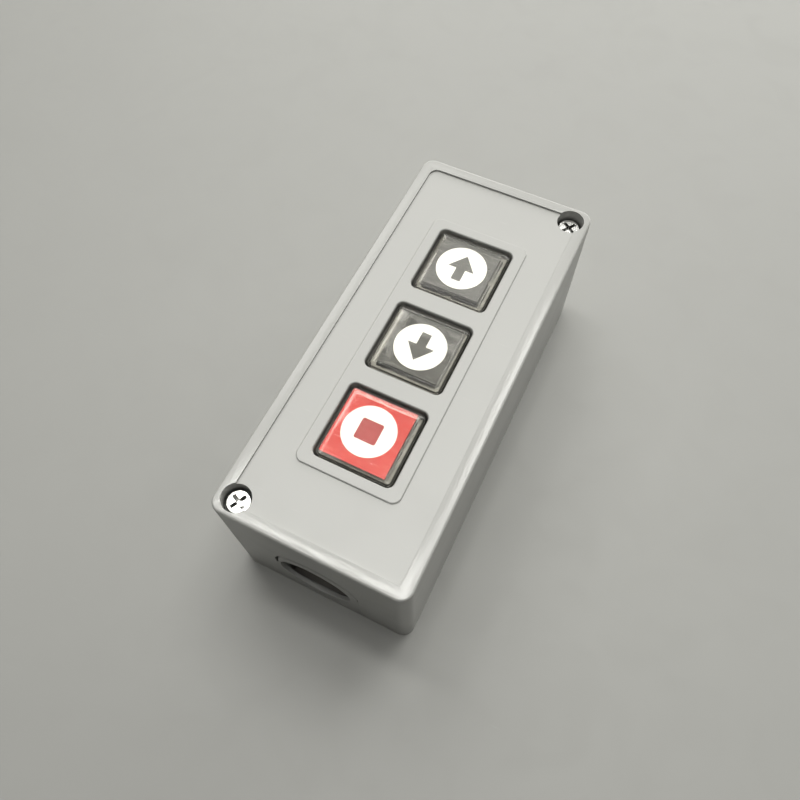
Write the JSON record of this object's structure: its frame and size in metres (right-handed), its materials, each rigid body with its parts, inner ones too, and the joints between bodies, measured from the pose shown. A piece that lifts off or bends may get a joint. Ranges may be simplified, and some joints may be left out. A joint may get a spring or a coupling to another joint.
{
  "type": "pushbutton control station",
  "caption": "Surface-mounted motor control station: grey moulded box with two dark and one red square pushbutton and a round cable entry.",
  "frame": {"origin": "middle of the mounting face, under the centre of the box", "axes": "+Z out of the mounting face towards the buttons, +Y along the box towards the forward button, cable entry at the -Y end"},
  "size_m": [0.066, 0.153, 0.057],
  "materials": {
    "housing": "light grey moulded plastic, satin",
    "zinc_steel": "bright zinc plated",
    "phenolic": "dark brown phenolic moulding",
    "spring_steel": "plain spring steel",
    "contact_brass": "stamped brass with silvered contacts",
    "black_moulding": "black moulded nylon",
    "grey_moulding": "olive grey moulded nylon",
    "label_dark": "dark grey label plate with a white disc",
    "label_red": "red label plate with a white disc",
    "clear_cap": "clear, slightly smoky moulded cap"
  },
  "bodies": {
    "station": {"cover": "housing", "cover_screws": "zinc_steel", "base": "housing", "contact_block": "phenolic", "block_screws": "zinc_steel", "guide_plate": "phenolic", "guide_plate_screws": "zinc_steel", "latch_spring": "spring_steel", "fixed_contacts": "contact_brass", "terminal_screws": "zinc_steel", "earth_terminal": "contact_brass", "earth_screw": "zinc_steel", "return_spring_forward": "spring_steel", "return_spring_reverse": "spring_steel", "return_spring_stop": "spring_steel"},
    "latch": {"latch_plate": "spring_steel"},
    "forward_button": {"plunger_forward": "black_moulding", "carrier_forward": "grey_moulding", "label_forward": "label_dark", "cap_forward": "clear_cap", "bridges_forward": "contact_brass", "contact_springs_forward": "spring_steel"},
    "reverse_button": {"plunger_reverse": "black_moulding", "carrier_reverse": "grey_moulding", "label_reverse": "label_dark", "cap_reverse": "clear_cap", "bridges_reverse": "contact_brass", "contact_springs_reverse": "spring_steel"},
    "stop_button": {"plunger_stop": "black_moulding", "carrier_stop": "grey_moulding", "label_stop": "label_red", "cap_stop": "clear_cap"}
  },
  "joints": [
    {"name": "forward_press", "type": "slide", "parent": "station", "child": "forward_button", "axis": [0, 0, -1], "range_m": [0, 0.0048], "stiffness_N_per_m": 800, "springref_m": -0.004, "deforming": ["return_spring_forward"]},
    {"name": "reverse_press", "type": "slide", "parent": "station", "child": "reverse_button", "axis": [0, 0, -1], "range_m": [0, 0.0048], "stiffness_N_per_m": 800, "springref_m": -0.004, "deforming": ["return_spring_reverse"]},
    {"name": "stop_press", "type": "slide", "parent": "station", "child": "stop_button", "axis": [0, 0, -1], "range_m": [0, 0.0048], "stiffness_N_per_m": 800, "springref_m": -0.004, "deforming": ["return_spring_stop"]},
    {"name": "latch_slide", "type": "slide", "parent": "station", "child": "latch", "axis": [0, 1, 0], "range_m": [0, 0.0024], "deforming": ["latch_spring"]}
  ],
  "couplings": [
    {"joint": "latch_slide", "follows": "stop_press", "ratio": 0.5}
  ]
}
